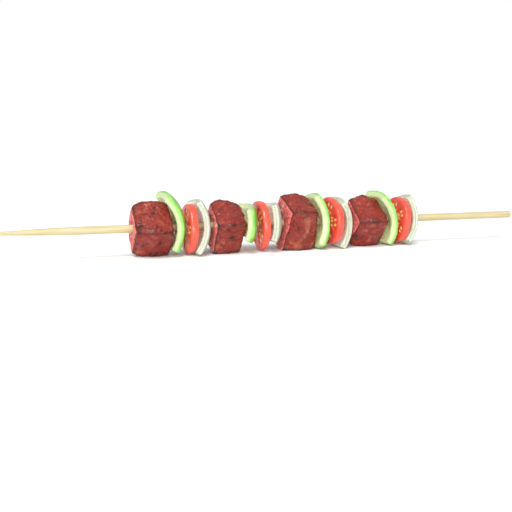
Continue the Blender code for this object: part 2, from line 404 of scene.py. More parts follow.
def copy_solid(node, name):
    """A copy of a solid with its points merged and the stick's bore closed."""
    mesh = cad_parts[node].data.copy()
    mesh.materials.clear()
    piece = bpy.data.objects.new(name, mesh)
    bpy.context.scene.collection.objects.link(piece)
    edit(piece, "FACE")
    bpy.ops.mesh.select_all(action="SELECT")
    bpy.ops.mesh.remove_doubles(threshold=WELD)
    bpy.ops.mesh.select_all(action="DESELECT")
    bpy.ops.object.mode_set(mode="OBJECT")
    points = mesh.vertices
    for face in mesh.polygons:
        face.select = all(from_axis(points[index].co) < BORE_REACH for index in face.vertices)
    bpy.ops.object.mode_set(mode="EDIT")
    bpy.ops.mesh.delete(type="FACE")
    bpy.ops.mesh.select_all(action="SELECT")
    bpy.ops.mesh.fill_holes(sides=0)
    bpy.ops.mesh.normals_make_consistent(inside=False)
    bpy.ops.object.mode_set(mode="OBJECT")
    return piece


def side_tree(piece, way):
    """A search tree over the smooth side of a wall that faces way along X at the stick."""
    edit(piece, "FACE")
    bpy.ops.object.mode_set(mode="OBJECT")
    caps = sorted(piece.data.polygons, key=lambda face: -len(face.vertices))[:2]
    cap = max(caps, key=lambda face: face.normal.x * way)
    cap.select = True
    bpy.ops.object.mode_set(mode="EDIT")
    bpy.ops.mesh.faces_select_linked_flat(sharpness=SIDE_SHARPNESS)
    bpy.ops.object.mode_set(mode="OBJECT")
    faces = [tuple(face.vertices) for face in piece.data.polygons if face.select]
    return BVHTree.FromPolygons([point.co.copy() for point in piece.data.vertices], faces)


def refine(piece, rounding, grid, evening, dimple, reach):
    """Gives a piece its fine skin, drawn in where the stick enters, and pierces it."""
    apply_modifier(
        piece,
        "SUBSURF",
        subdivision_type=rounding,
        levels=SOLID_SUBDIVISION,
        render_levels=SOLID_SUBDIVISION,
    )
    apply_modifier(piece, "REMESH", mode="VOXEL", voxel_size=grid, use_smooth_shade=True)
    weights = []
    for point in piece.data.vertices:
        fade = max(0, from_axis(point.co) - STICK_RADIUS) / reach
        weights.append(abs(point.normal.x) * math.exp(-fade * fade))
    push(piece, -dimple, weights)
    apply_modifier(piece, "SMOOTH", factor=SLIGHT, iterations=evening)
    pierce(piece)


def pierce(piece):
    """Cuts the hole that the stick fills, and fans out the faces at its rim so that none is a sliver."""
    bpy.ops.object.select_all(action="DESELECT")
    bpy.ops.mesh.primitive_cylinder_add(
        vertices=GRIP_SIDES,
        radius=GRIP_RADIUS,
        depth=STICK_HIGH.x - STICK_LOW.x,
        location=STICK_MIDDLE,
        rotation=(0, math.pi / 2, 0),
    )
    cutter = bpy.context.object
    apply_modifier(piece, "BOOLEAN", operation="DIFFERENCE", solver="EXACT", object=cutter)
    bpy.data.objects.remove(cutter, do_unlink=True)
    edit(piece, "VERT")
    pick(piece.data.vertices, at_rim)
    bpy.ops.mesh.remove_doubles(threshold=RIM_WELD)
    bpy.ops.mesh.select_mode(type="FACE")
    pick(piece.data.polygons, lambda face: any(at_rim(piece.data.vertices[index]) for index in face.vertices))
    bpy.ops.mesh.poke()
    bpy.ops.object.mode_set(mode="OBJECT")


def at_rim(point):
    """Whether a point lies on the hole that the stick fills."""
    return from_axis(point.co) < GRIP_RADIUS + WELD


def clear_of_stick(piece):
    """A weight for each point: none at the stick, full a little way off it."""
    return [smooth_step(0, GRIP_FADE, from_axis(point.co) - GRIP_RADIUS) for point in piece.data.vertices]


def evened_places(piece, iterations):
    """Where the points of a piece would be if its surface were evened out."""
    evening = piece.modifiers.new("evening", "SMOOTH")
    evening.factor = SLIGHT
    evening.iterations = iterations
    graph = bpy.context.evaluated_depsgraph_get()
    places = [point.co.copy() for point in piece.evaluated_get(graph).data.vertices]
    piece.modifiers.remove(evening)
    return places


def stand_out(piece, iterations, full):
    """How far each point stands out of the evened surface, as a part of full, from 0 to 1."""
    evened = evened_places(piece, iterations)
    shares = []
    for point, place in zip(piece.data.vertices, evened):
        shares.append(min(1, max(0, (point.co - place).dot(point.normal) / full)))
    return shares


def pattern_helper(place, turn, stretch):
    """An empty whose own space is turned and stretched as a pattern is."""
    helper = bpy.data.objects.new("pattern_helper", None)
    bpy.context.scene.collection.objects.link(helper)
    helper.matrix_world = Matrix.LocRotScale(place, turn, Vector(stretch))
    bpy.context.view_layer.update()
    return helper


def follow_helper(piece, helper):
    """Stores each point's place in the helper's space."""
    inside = helper.matrix_world.inverted()
    give_places(piece, "grain", [inside @ point.co for point in piece.data.vertices])


def dress(piece, node, material):
    """Finishes a piece: keeps it inside the solids' box and over the floor, and ties it to the frame."""
    low, high = CAD_BOX
    for point in piece.data.vertices:
        kept = [min(top, max(bottom, value)) for bottom, value, top in zip(low, point.co, high)]
        point.co = (kept[0], kept[1], max(FLOOR_LIFT, kept[2]))
    piece.vertex_groups.clear()
    piece.data.materials.append(material)
    only(piece)
    bpy.ops.object.shade_smooth_by_angle(angle=RIM_SHARPNESS)
    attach(piece, "root")
    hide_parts(node)


def middle_of(node):
    """The middle of a solid's box."""
    low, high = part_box(node)
    return (low + high) / 2


def lengthwise_turn(node):
    """The turn that brings Z to the longer way of a wall piece."""
    low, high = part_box(node)
    across = high.y - low.y > high.z - low.z
    return Euler((math.pi / 2 if across else 0, 0, 0))


def wall_depths(piece, skin, hollow):
    """How deep each point lies in a wall: 0 on its skin, 1 on its hollow side."""
    depths = []
    for point in piece.data.vertices:
        to_skin = skin.find_nearest(point.co)[3]
        to_hollow = hollow.find_nearest(point.co)[3]
        depths.append(to_skin / (to_skin + to_hollow))
    return depths


def per_mm(size):
    """The scale of a noise whose marks are size millimetres wide."""
    return 1 / (size * MM)


def add(tree, kind, inputs=None, stops=None, **settings):
    """Adds a shader node with its settings, its colour stops, and its values or links."""
    node = tree.nodes.new("ShaderNode" + kind)
    for name, value in settings.items():
        setattr(node, name, value)
    for socket, value in (inputs or {}).items():
        if isinstance(value, bpy.types.NodeSocket):
            tree.links.new(value, node.inputs[socket])
        else:
            node.inputs[socket].default_value = value
    if stops:
        elements = node.color_ramp.elements
        while len(elements) < len(stops):
            elements.new(0.5)
        for element, (position, _) in zip(elements, stops):
            element.position = position
        for element, (_, shade) in zip(elements, stops):
            element.color = shade
    return node


def new_material(name, **values):
    """A material with one Principled shader, set to uniform values."""
    material = bpy.data.materials.new(name)
    material.use_nodes = True
    shader = material.node_tree.nodes["Principled BSDF"]
    for socket, value in values.items():
        shader.inputs[socket.replace("_", " ")].default_value = value
    return material, material.node_tree, shader


def grey(value):
    """A grey of the given linear value."""
    return (value, value, value, 1)


def seared_lamb(look):
    """Lamb seared over charcoal: a matt red-brown crust of fibre bundles, dark where edges caught the heat,
    with juice shining in places, and cut faces that stay rosy and moist."""
    material, tree, shader = new_material(
        "seared lamb",
        IOR=1.40,
        Subsurface_Weight=0.08,
        Subsurface_Radius=(1.0, 0.35, 0.25),
        Subsurface_Scale=0.8 * MM,
        Specular_IOR_Level=0.35,
        Coat_Roughness=0.18,
    )
    place = add(tree, "TexCoord").outputs["Object"]
    grain = add(tree, "Attribute", attribute_name="grain").outputs["Vector"]
    cut_face = add(tree, "Attribute", attribute_name="cut_face").outputs["Fac"]
    ridge = add(tree, "Attribute", attribute_name="ridge").outputs["Fac"]
    pit_shade = add(tree, "Attribute", attribute_name="pit_shade").outputs["Fac"]
    patches = add(
        tree, "TexNoise", {"Vector": place, "Scale": per_mm(CRUST_PATCH), "Detail": 3.0, "Roughness": 0.55}
    )
    bundles = add(
        tree, "TexNoise", {"Vector": grain, "Scale": per_mm(CRUST_BUNDLE), "Detail": 4.0, "Roughness": 0.6}
    )
    fibres = add(
        tree, "TexNoise", {"Vector": grain, "Scale": per_mm(CRUST_FIBRE), "Detail": 3.0, "Roughness": 0.6}
    )

    # Crust: red-brown patches, streaked along the fibres, with crisp fat, and char on edges and in spots
    blend = add(
        tree, "Mix", {FACTOR: 0.5, NUMBER_A: patches.outputs["Fac"], NUMBER_B: bundles.outputs["Fac"]}
    ).outputs[0]
    crust = add(
        tree,
        "ValToRGB",
        {"Fac": blend},
        stops=[(0.36, look.crust_dark), (0.46, look.crust), (0.56, look.crust), (0.66, look.crust_light)],
    ).outputs["Color"]
    streaks = add(
        tree, "ValToRGB", {"Fac": fibres.outputs["Fac"]}, stops=[(0.36, grey(0.60)), (0.60, grey(1.12))]
    ).outputs["Color"]
    crust = add(tree, "Mix", {FACTOR: 0.8, COLOUR_A: crust, COLOUR_B: streaks}, **MULTIPLIED).outputs[MIXED]
    browned = add(tree, "Math", {0: ridge, 1: patches.outputs["Fac"]}, operation="MULTIPLY").outputs[0]
    browned = add(tree, "MapRange", {"Value": browned, "From Min": 0.08, "From Max": 0.40}).outputs[0]
    spots = add(
        tree, "MapRange", {"Value": blend, "From Min": 0.44, "From Max": 0.36, "To Max": 0.75}
    ).outputs[0]
    browned = add(tree, "Math", {0: browned, 1: spots}, operation="MAXIMUM").outputs[0]
    crisp = add(
        tree, "MapRange", {"Value": patches.outputs["Fac"], "From Min": 0.58, "From Max": 0.70}
    ).outputs[0]
    crust = add(
        tree, "Mix", {FACTOR: crisp, COLOUR_A: crust, COLOUR_B: look.crisp_fat}, **IN_COLOUR
    ).outputs[MIXED]
    crust = add(
        tree, "Mix", {FACTOR: browned, COLOUR_A: crust, COLOUR_B: look.char}, **IN_COLOUR
    ).outputs[MIXED]

    # Cut faces: rosy fibre bundles with winding veins of fat
    inside = add(
        tree, "ValToRGB", {"Fac": bundles.outputs["Fac"]}, stops=[(0.38, look.cut_deep), (0.55, look.cut)]
    ).outputs["Color"]
    winding = add(
        tree, "TexNoise", {"Vector": grain, "Scale": per_mm(FAT_VEIN), "Detail": 1.0, "Distortion": 0.5}
    )
    away = add(tree, "Math", {0: winding.outputs["Fac"], 1: 0.5}, operation="SUBTRACT").outputs[0]
    away = add(tree, "Math", {0: away}, operation="ABSOLUTE").outputs[0]
    veins = add(tree, "MapRange", {"Value": away, "From Min": 0.040, "From Max": 0.008}).outputs[0]
    fatty = add(
        tree, "MapRange", {"Value": patches.outputs["Fac"], "From Min": 0.50, "From Max": 0.58}
    ).outputs[0]
    veins = add(tree, "Math", {0: veins, 1: fatty}, operation="MULTIPLY").outputs[0]
    inside = add(
        tree, "Mix", {FACTOR: veins, COLOUR_A: inside, COLOUR_B: look.fat}, **IN_COLOUR
    ).outputs[MIXED]
    inside = add(
        tree, "Mix", {FACTOR: 0.45, COLOUR_A: inside, COLOUR_B: streaks}, **MULTIPLIED
    ).outputs[MIXED]

    # Where crust meets cut face: a dark rim with a ragged edge, partly seared crust and partly painted shade,
    # and painted shade in the pits
    ragged = add(tree, "Math", {0: bundles.outputs["Fac"], 1: 0.5}, operation="SUBTRACT").outputs[0]
    ragged = add(tree, "Math", {0: ragged, 1: 0.9, 2: cut_face}, operation="MULTIPLY_ADD").outputs[0]
    # The dark rim is partly the seared edge of the cut face and partly painted shade
    rim = add(tree, "MapRange", {"Value": ragged, "From Min": 0.25, "From Max": 0.5}).outputs[0]
    surface = add(
        tree, "Mix", {FACTOR: rim, COLOUR_A: crust, COLOUR_B: look.crust_dark}, **IN_COLOUR
    ).outputs[MIXED]
    rosy = add(tree, "MapRange", {"Value": ragged, "From Min": 0.5, "From Max": 0.8}).outputs[0]
    surface = add(
        tree, "Mix", {FACTOR: rosy, COLOUR_A: surface, COLOUR_B: inside}, **IN_COLOUR
    ).outputs[MIXED]
    # Painted shade: the crust is darkened in its pits
    painted_pit_shade = add(
        tree, "ValToRGB", {"Fac": pit_shade}, stops=[(0.0, grey(1.0)), (1.0, grey(0.45))]
    ).outputs["Color"]
    surface = add(
        tree, "Mix", {FACTOR: 1.0, COLOUR_A: surface, COLOUR_B: painted_pit_shade}, **MULTIPLIED
    ).outputs[MIXED]
    tree.links.new(surface, shader.inputs["Base Color"])

    # Juice: a clear gleam in spots
    juice = add(tree, "TexNoise", {"Vector": place, "Scale": per_mm(JUICE_SPOT), "Detail": 2.0})
    gleam = add(
        tree, "MapRange", {"Value": juice.outputs["Fac"], "From Min": 0.48, "From Max": 0.62, "To Max": 0.4}
    ).outputs[0]
    tree.links.new(gleam, shader.inputs["Coat Weight"])
    roughness = add(
        tree,
        "MapRange",
        {"Value": juice.outputs["Fac"], "From Min": 0.40, "From Max": 0.62, "To Min": 0.58, "To Max": 0.34},
    ).outputs[0]
    tree.links.new(roughness, shader.inputs["Roughness"])
    bump = add(
        tree, "Bump", {"Height": fibres.outputs["Fac"], "Strength": 0.6, "Distance": 0.25 * MM}
    ).outputs["Normal"]
    tree.links.new(bump, shader.inputs["Normal"])
    return material


def pepper_wall(look):
    """Sweet green pepper: a thin waxy skin with a broad soft shine over pale, wet, crisp flesh."""
    material, tree, shader = new_material(
        "sweet pepper",
        IOR=1.45,
        Subsurface_Weight=0.5,
        Subsurface_Radius=(0.7, 1.0, 0.4),
        Subsurface_Scale=3.0 * MM,
        Coat_Weight=0.25,
        Coat_Roughness=0.12,
    )
    place = add(tree, "TexCoord").outputs["Object"]
    grain = add(tree, "Attribute", attribute_name="grain").outputs["Vector"]
    depth = add(tree, "Attribute", attribute_name="depth").outputs["Fac"]
    patches = add(tree, "TexNoise", {"Vector": place, "Scale": per_mm(PEPPER_PATCH), "Detail": 2.0})
    skin = add(
        tree, "ValToRGB", {"Fac": patches.outputs["Fac"]}, stops=[(0.40, look.skin_deep), (0.58, look.skin)]
    ).outputs["Color"]
    cells = add(tree, "TexVoronoi", {"Vector": place, "Scale": per_mm(PEPPER_CELL)})
    flecks = add(
        tree, "ValToRGB", {"Fac": cells.outputs["Distance"]}, stops=[(0.0, grey(1.10)), (0.45, grey(0.96))]
    ).outputs["Color"]
    skin = add(tree, "Mix", {FACTOR: 0.5, COLOUR_A: skin, COLOUR_B: flecks}, **MULTIPLIED).outputs[MIXED]
    ribs = add(tree, "TexNoise", {"Vector": grain, "Scale": per_mm(PEPPER_RIB), "Detail": 3.0})
    # Hollow side: the paler inner face, painted lighter still to offset the shade in the hollow
    hollow = add(
        tree, "ValToRGB", {"Fac": ribs.outputs["Fac"]}, stops=[(0.38, look.hollow), (0.62, look.flesh)]
    ).outputs["Color"]
    hollow = add(
        tree, "Mix", {FACTOR: 0.45, COLOUR_A: look.hollow, COLOUR_B: hollow}, **IN_COLOUR
    ).outputs[MIXED]
    wet = add(
        tree, "ValToRGB", {"Fac": cells.outputs["Distance"]}, stops=[(0.1, grey(1.0)), (0.6, grey(0.90))]
    ).outputs["Color"]
    flesh = add(tree, "Mix", {FACTOR: 0.6, COLOUR_A: look.flesh, COLOUR_B: wet}, **MULTIPLIED).outputs[MIXED]
    under = add(tree, "MapRange", {"Value": depth, "From Min": 0.26, "From Max": 0.46}).outputs[0]
    surface = add(tree, "Mix", {FACTOR: under, COLOUR_A: skin, COLOUR_B: flesh}, **IN_COLOUR).outputs[MIXED]
    inner = add(tree, "MapRange", {"Value": depth, "From Min": 0.86, "From Max": 0.97}).outputs[0]
    surface = add(
        tree, "Mix", {FACTOR: inner, COLOUR_A: surface, COLOUR_B: hollow}, **IN_COLOUR
    ).outputs[MIXED]
    tree.links.new(surface, shader.inputs["Base Color"])
    roughness = add(tree, "MapRange", {"Value": under, "To Min": 0.26, "To Max": 0.42}).outputs[0]
    tree.links.new(roughness, shader.inputs["Roughness"])
    fine = add(tree, "Bump", {"Height": cells.outputs["Distance"], "Strength": 0.25, "Distance": 0.08 * MM})
    tree.links.new(fine.outputs["Normal"], shader.inputs["Normal"])
    return material


def ripe_tomato(look):
    """Ripe tomato: taut shiny skin round wet flesh, with jelly and pale seeds in its chambers."""
    material, tree, shader = new_material(
        "ripe tomato",
        IOR=1.40,
        Subsurface_Weight=0.20,
        Subsurface_Radius=(1.0, 0.3, 0.2),
        Subsurface_Scale=1.5 * MM,
        Coat_Weight=0.35,
        Coat_Roughness=0.10,
    )
    place = add(tree, "TexCoord").outputs["Object"]
    cut_face = add(tree, "Attribute", attribute_name="cut_face").outputs["Fac"]
    gel = add(tree, "Attribute", attribute_name="gel").outputs["Fac"]
    seed = add(tree, "Attribute", attribute_name="seed").outputs["Fac"]
    patches = add(tree, "TexNoise", {"Vector": place, "Scale": per_mm(TOMATO_PATCH), "Detail": 2.0})
    tint = add(
        tree, "ValToRGB", {"Fac": patches.outputs["Fac"]}, stops=[(0.40, grey(0.88)), (0.60, grey(1.0))]
    ).outputs["Color"]
    skin = add(tree, "Mix", {FACTOR: 0.8, COLOUR_A: look.skin, COLOUR_B: tint}, **MULTIPLIED).outputs[MIXED]
    pulp = add(tree, "TexNoise", {"Vector": place, "Scale": per_mm(TOMATO_PULP), "Detail": 3.0})
    pale = add(
        tree, "ValToRGB", {"Fac": pulp.outputs["Fac"]}, stops=[(0.42, look.flesh), (0.72, look.skin)]
    ).outputs["Color"]
    flesh = add(tree, "Mix", {FACTOR: gel, COLOUR_A: pale, COLOUR_B: look.gel}, **IN_COLOUR).outputs[MIXED]
    flesh = add(tree, "Mix", {FACTOR: seed, COLOUR_A: flesh, COLOUR_B: look.seed}, **IN_COLOUR).outputs[MIXED]
    surface = add(
        tree, "Mix", {FACTOR: cut_face, COLOUR_A: skin, COLOUR_B: flesh}, **IN_COLOUR
    ).outputs[MIXED]
    tree.links.new(surface, shader.inputs["Base Color"])
    roughness = add(tree, "MapRange", {"Value": cut_face, "To Min": 0.22, "To Max": 0.36}).outputs[0]
    tree.links.new(roughness, shader.inputs["Roughness"])
    grains = add(tree, "Math", {0: pulp.outputs["Fac"], 1: cut_face}, operation="MULTIPLY").outputs[0]
    bump = add(tree, "Bump", {"Height": grains, "Strength": 0.5, "Distance": 0.15 * MM}).outputs["Normal"]
    tree.links.new(bump, shader.inputs["Normal"])
    return material


def onion_petal(look):
    """White onion: crisp, wet and slightly see-through, with fine greenish veins along it."""
    material, tree, shader = new_material(
        "white onion",
        IOR=1.42,
        Subsurface_Weight=0.8,
        Subsurface_Radius=(1.0, 1.0, 0.8),
        Subsurface_Scale=4.0 * MM,
        Coat_Weight=0.25,
        Coat_Roughness=0.15,
    )
    grain = add(tree, "Attribute", attribute_name="grain").outputs["Vector"]
    depth = add(tree, "Attribute", attribute_name="depth").outputs["Fac"]
    veins = add(tree, "TexNoise", {"Vector": grain, "Scale": per_mm(ONION_VEIN), "Detail": 2.0})
    inner = add(tree, "MapRange", {"Value": depth, "From Min": 0.80, "From Max": 0.97}).outputs[0]
    # Painted light: the hollow side is lighter than the outer face, to offset the shade in the hollow
    wall = add(
        tree, "Mix", {FACTOR: inner, COLOUR_A: look.outside, COLOUR_B: look.hollow}, **IN_COLOUR
    ).outputs[MIXED]
    lines = add(
        tree, "ValToRGB", {"Fac": veins.outputs["Fac"]}, stops=[(0.50, grey(0)), (0.64, grey(0.75))]
    ).outputs["Color"]
    faint = add(tree, "MapRange", {"Value": inner, "To Min": 1.0, "To Max": 0.2}).outputs[0]
    lines = add(tree, "Math", {0: lines, 1: faint}, operation="MULTIPLY").outputs[0]
    between = add(
        tree, "ValToRGB", {"Fac": depth}, stops=[(0.43, grey(0)), (0.50, grey(0.8)), (0.57, grey(0))]
    ).outputs["Color"]
    lines = add(tree, "Math", {0: lines, 1: between}, operation="MAXIMUM").outputs[0]
    surface = add(
        tree, "Mix", {FACTOR: lines, COLOUR_A: wall, COLOUR_B: look.vein}, **IN_COLOUR
    ).outputs[MIXED]
    tree.links.new(surface, shader.inputs["Base Color"])
    roughness = add(
        tree, "MapRange", {"Value": veins.outputs["Fac"], "To Min": 0.26, "To Max": 0.44}
    ).outputs[0]
    tree.links.new(roughness, shader.inputs["Roughness"])
    bump = add(tree, "Bump", {"Height": veins.outputs["Fac"], "Strength": 0.3, "Distance": 0.1 * MM})
    tree.links.new(bump.outputs["Normal"], shader.inputs["Normal"])
    return material


def turned_bamboo(look):
    """Bamboo turned to a round stick: pale satin wood of long straight strands, with open pores at its end.
    The strands are drawn about twice as wide as real ones, so that they show."""
    material, tree, shader = new_material("turned bamboo", IOR=1.5)
    grain = add(tree, "Attribute", attribute_name="grain").outputs["Vector"]
    end_face = add(tree, "Attribute", attribute_name="end_face").outputs["Fac"]
    place = add(tree, "TexCoord").outputs["Object"]
    strands = add(
        tree, "TexNoise", {"Vector": grain, "Scale": per_mm(BAMBOO_STRAND), "Detail": 4.0, "Roughness": 0.6}
    )
    wood = add(
        tree, "ValToRGB", {"Fac": strands.outputs["Fac"]}, stops=[(0.42, look.pale), (0.70, look.dark)]
    ).outputs["Color"]
    bands = add(tree, "TexNoise", {"Vector": place, "Scale": per_mm(BAMBOO_BAND), "Detail": 1.0})
    warm = add(
        tree, "ValToRGB", {"Fac": bands.outputs["Fac"]}, stops=[(0.40, grey(0.95)), (0.60, grey(1.0))]
    ).outputs["Color"]
    wood = add(tree, "Mix", {FACTOR: 1.0, COLOUR_A: wood, COLOUR_B: warm}, **MULTIPLIED).outputs[MIXED]
    pores = add(tree, "TexVoronoi", {"Vector": place, "Scale": per_mm(BAMBOO_PORE)})
    dots = add(
        tree, "ValToRGB", {"Fac": pores.outputs["Distance"]}, stops=[(0.22, look.pore), (0.34, look.dark)]
    ).outputs["Color"]
    surface = add(tree, "Mix", {FACTOR: end_face, COLOUR_A: wood, COLOUR_B: dots}, **IN_COLOUR).outputs[MIXED]
    tree.links.new(surface, shader.inputs["Base Color"])
    roughness = add(
        tree, "MapRange", {"Value": strands.outputs["Fac"], "To Min": 0.42, "To Max": 0.62}
    ).outputs[0]
    tree.links.new(roughness, shader.inputs["Roughness"])
    bump = add(tree, "Bump", {"Height": strands.outputs["Fac"], "Strength": 0.3, "Distance": 0.1 * MM})
    tree.links.new(bump.outputs["Normal"], shader.inputs["Normal"])
    return material


def make_lamb(index, look, material):
    """One cube of lamb: its fibres run across the stick, under a lumpy seared crust."""
    node = f"lamb_chunk_{index}"
    piece = copy_solid(node, f"lamb_{index}")
    refine(piece, "SIMPLE", look.skin_grid, LAMB_EVENING, LAMB_DIMPLE, LAMB_DIMPLE_REACH)
    cut_face = [smooth_step(*LAMB_CUT_FACE, abs(point.normal.x)) for point in piece.data.vertices]
    ridge = stand_out(piece, LAMB_RIDGE_EVENING, LAMB_RIDGE_HEIGHT)
    draw = random.Random(index)
    stray = Euler([draw.uniform(-LAMB_FIBRE_STRAY, LAMB_FIBRE_STRAY) for _ in range(3)]).to_matrix()
    turn = stray @ Matrix.Rotation(LAMB_FIBRE_TURN, 3, "Z")
    helper = pattern_helper(middle_of(node), turn.to_quaternion(), (LAMB_FIBRE_STRETCH, 1, 1))
    follow_helper(piece, helper)
    give_values(piece, "cut_face", cut_face)
    give_values(piece, "ridge", ridge)
    give_group(piece, "relief", clear_of_stick(piece))
    carve(piece, LAMB_LUMP_SIZE, look.lumps, 2, group="relief")
    carve(piece, LAMB_BUNDLE_SIZE, look.bundles, 2, helper, "relief")
    carve(piece, LAMB_CRUMB_SIZE, look.crumbs, 1, group="relief")
    # Stores the painted shade in the pits, from how far each point sinks below the evened surface
    give_values(piece, "pit_shade", stand_out(piece, LAMB_PIT_SHADE_EVENING, LAMB_PIT_SHADE_DEPTH))
    bpy.data.objects.remove(helper)
    dress(piece, node, material)


def make_shell(node, name, look, evening, dimple, stretch):
    """Refines one cut piece of wall, and stores its wall depths and lengthwise grain."""
    piece = copy_solid(node, name)
    skin = side_tree(piece, 1)
    hollow = side_tree(piece, -1)
    refine(piece, "CATMULL_CLARK", look.skin_grid, evening, dimple, SHELL_DIMPLE_REACH)
    depths = wall_depths(piece, skin, hollow)
    give_values(piece, "depth", depths)
    helper = pattern_helper(middle_of(node), lengthwise_turn(node).to_quaternion(), (1, 1, stretch))
    follow_helper(piece, helper)
    return piece, depths, helper


def make_pepper(index, look, material):
    """One piece of pepper, with a wavy skin and ribs on its hollow side."""
    node = f"green_pepper_{index}"
    piece, depths, helper = make_shell(
        node, f"pepper_{index}", look, PEPPER_EVENING, PEPPER_DIMPLE, PEPPER_RIB_STRETCH
    )
    free = clear_of_stick(piece)
    hollow = [weight * smooth_step(*HOLLOW_SIDE, depth) for weight, depth in zip(free, depths)]
    give_group(piece, "relief", free)
    give_group(piece, "hollow", hollow)
    carve(piece, PEPPER_WAVE_SIZE, look.undulation, 1, group="relief")
    carve(piece, PEPPER_RIB_SIZE, look.ribs, 1, helper, "hollow")
    bpy.data.objects.remove(helper)
    dress(piece, node, material)


def make_onion(index, look, material):
    """One petal of onion, veined, with a line between its two layers."""
    node = f"onion_piece_{index}"
    piece, depths, helper = make_shell(
        node, f"onion_{index}", look, ONION_EVENING, ONION_DIMPLE, ONION_VEIN_STRETCH
    )
    free = clear_of_stick(piece)
    line = []
    for weight, depth in zip(free, depths):
        away = (depth - LAYER_LINE_DEPTH) / LAYER_LINE_WIDTH
        line.append(weight * math.exp(-away * away))
    push(piece, -look.layer_line, line)
    give_group(piece, "relief", free)
    carve(piece, ONION_VEIN_SIZE, look.veins, 1, helper, "relief")
    bpy.data.objects.remove(helper)
    dress(piece, node, material)


def seed_tree(count, radius, draw):
    """A search tree over the places of the seeds in a slice, in its own plane."""
    places = []
    for chamber in range(count):
        for number in range(SEEDS_PER_CHAMBER):
            row = SEED_ROWS[number % 2] + draw.uniform(-SEED_ROW_STRAY, SEED_ROW_STRAY)
            aside = SEED_SPREAD * (number / (SEEDS_PER_CHAMBER - 1) * 2 - 1)
            aside += draw.uniform(-SEED_SIDE_STRAY, SEED_SIDE_STRAY)
            angle = (chamber + 0.5 + aside / 2) / count * math.tau
            places.append(Vector((0, math.cos(angle), math.sin(angle))) * row * radius)
    tree = KDTree(len(places))
    for number, place in enumerate(places):
        tree.insert(place, number)
    tree.balance()
    return tree


def make_tomato(index, look, material):
    """One slice of tomato, with sunken seed chambers and raised seeds on both faces."""
    node = f"tomato_slice_{index}"
    piece = copy_solid(node, f"tomato_{index}")
    refine(piece, "CATMULL_CLARK", look.skin_grid, TOMATO_EVENING, TOMATO_DIMPLE, TOMATO_DIMPLE_REACH)
    low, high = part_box(node)
    middle = (low + high) / 2
    radius = (high.y - low.y + high.z - low.z) / 4
    count = CHAMBERS[index - 1]
    seeds = seed_tree(count, radius, random.Random(index))
    cut_face, gel, seed = [], [], []
    for point in piece.data.vertices:
        face = smooth_step(*TOMATO_CUT_FACE, abs(point.normal.x))
        flat = Vector((0, point.co.y - middle.y, point.co.z - middle.z))
        aside = (math.atan2(flat.z, flat.y) / math.tau * count) % 1 * 2 - 1
        inward = (flat.length / radius - CHAMBER_MIDDLE) / CHAMBER_DEPTH
        outline = abs(aside / CHAMBER_SPREAD) ** CHAMBER_POWER + abs(inward) ** CHAMBER_POWER
        chamber = face * (1 - smooth_step(CHAMBER_EDGE[1], CHAMBER_EDGE[0], outline))
        place, _, away = seeds.find(flat)
        along = abs((flat - place).dot(place.normalized()))
        across = math.sqrt(max(0, away**2 - along**2))
        oval = math.hypot(along / SEED_SIZE[0], across / SEED_SIZE[1])
        cut_face.append(face)
        gel.append(chamber)
        seed.append(face * (1 - smooth_step(*SEED_EDGE, oval)))
    give_values(piece, "cut_face", cut_face)
    give_values(piece, "gel", gel)
    give_values(piece, "seed", seed)
    free = clear_of_stick(piece)
    push(piece, -look.hollows, [weight * value for weight, value in zip(free, gel)])
    push(piece, look.seed_height, [weight * value for weight, value in zip(free, seed)])
    give_group(piece, "relief", free)
    carve(piece, TOMATO_WAVE_SIZE, TOMATO_WAVE_HEIGHT, 1, group="relief")
    dress(piece, node, material)


def taper_radius(part):
    """Radius of the stick at a part of the way from its tip to its full thickness."""
    swell = POINT_FULLNESS * math.sin(math.pi * part)
    return POINT_RADIUS + (STICK_RADIUS - POINT_RADIUS) * min(1, part + swell)


def make_stick(look, material):
    """The stick: a cylinder cut into rings, drawn in to a long point, and bevelled at its blunt end."""
    bpy.ops.object.select_all(action="DESELECT")
    bpy.ops.mesh.primitive_cylinder_add(
        vertices=STICK_SIDES,
        radius=STICK_RADIUS,
        depth=STICK_HIGH.x - STICK_LOW.x,
        location=STICK_MIDDLE,
        rotation=(0, math.pi / 2, 0),
    )
    piece = bpy.context.object
    piece.name = "stick"
    bpy.ops.object.transform_apply(location=True, rotation=True, scale=True)
    edit(piece, "VERT")
    stations = {STICK_LOW.x + POINT_ROUNDING / 2: POINT_RADIUS}
    for ring in range(1, POINT_RINGS):
        part = ring / POINT_RINGS
        stations[STICK_LOW.x + POINT_LENGTH * part] = taper_radius(part)
    rings = math.floor((STICK_HIGH.x - STICK_LOW.x - POINT_LENGTH) / STICK_RING_SPACING)
    for ring in range(rings):
        stations[STICK_LOW.x + POINT_LENGTH + ring * STICK_RING_SPACING] = STICK_RADIUS
    for station in stations:
        bpy.ops.mesh.select_all(action="SELECT")
        bpy.ops.mesh.bisect(plane_co=(station, 0, 0), plane_no=(1, 0, 0))
    stations[STICK_LOW.x] = POINT_RADIUS / 2
    for station, radius in stations.items():
        if radius < STICK_RADIUS:
            pick(piece.data.vertices, lambda point: abs(point.co.x - station) < WELD)
            share = radius / STICK_RADIUS
            bpy.ops.transform.resize(
                value=(1, share, share), center_override=(station, STICK_MIDDLE.y, STICK_MIDDLE.z)
            )
    pick(piece.data.vertices, lambda point: abs(point.co.x - STICK_HIGH.x) < WELD)
    bpy.ops.mesh.bevel(offset=BLUNT_BEVEL, segments=BLUNT_BEVEL_STEPS, affect="EDGES")
    bpy.ops.object.mode_set(mode="OBJECT")
    end_face = [smooth_step(*BLUNT_FACE, point.normal.x) for point in piece.data.vertices]
    helper = pattern_helper(STICK_MIDDLE, Euler((0, 0, 0)).to_quaternion(), (STRAND_STRETCH, 1, 1))
    follow_helper(piece, helper)
    give_values(piece, "end_face", end_face)
    carve(piece, STRAND_SIZE, look.fibre_height, 1, helper)
    bpy.data.objects.remove(helper)
    dress(piece, "bamboo_stick", material)


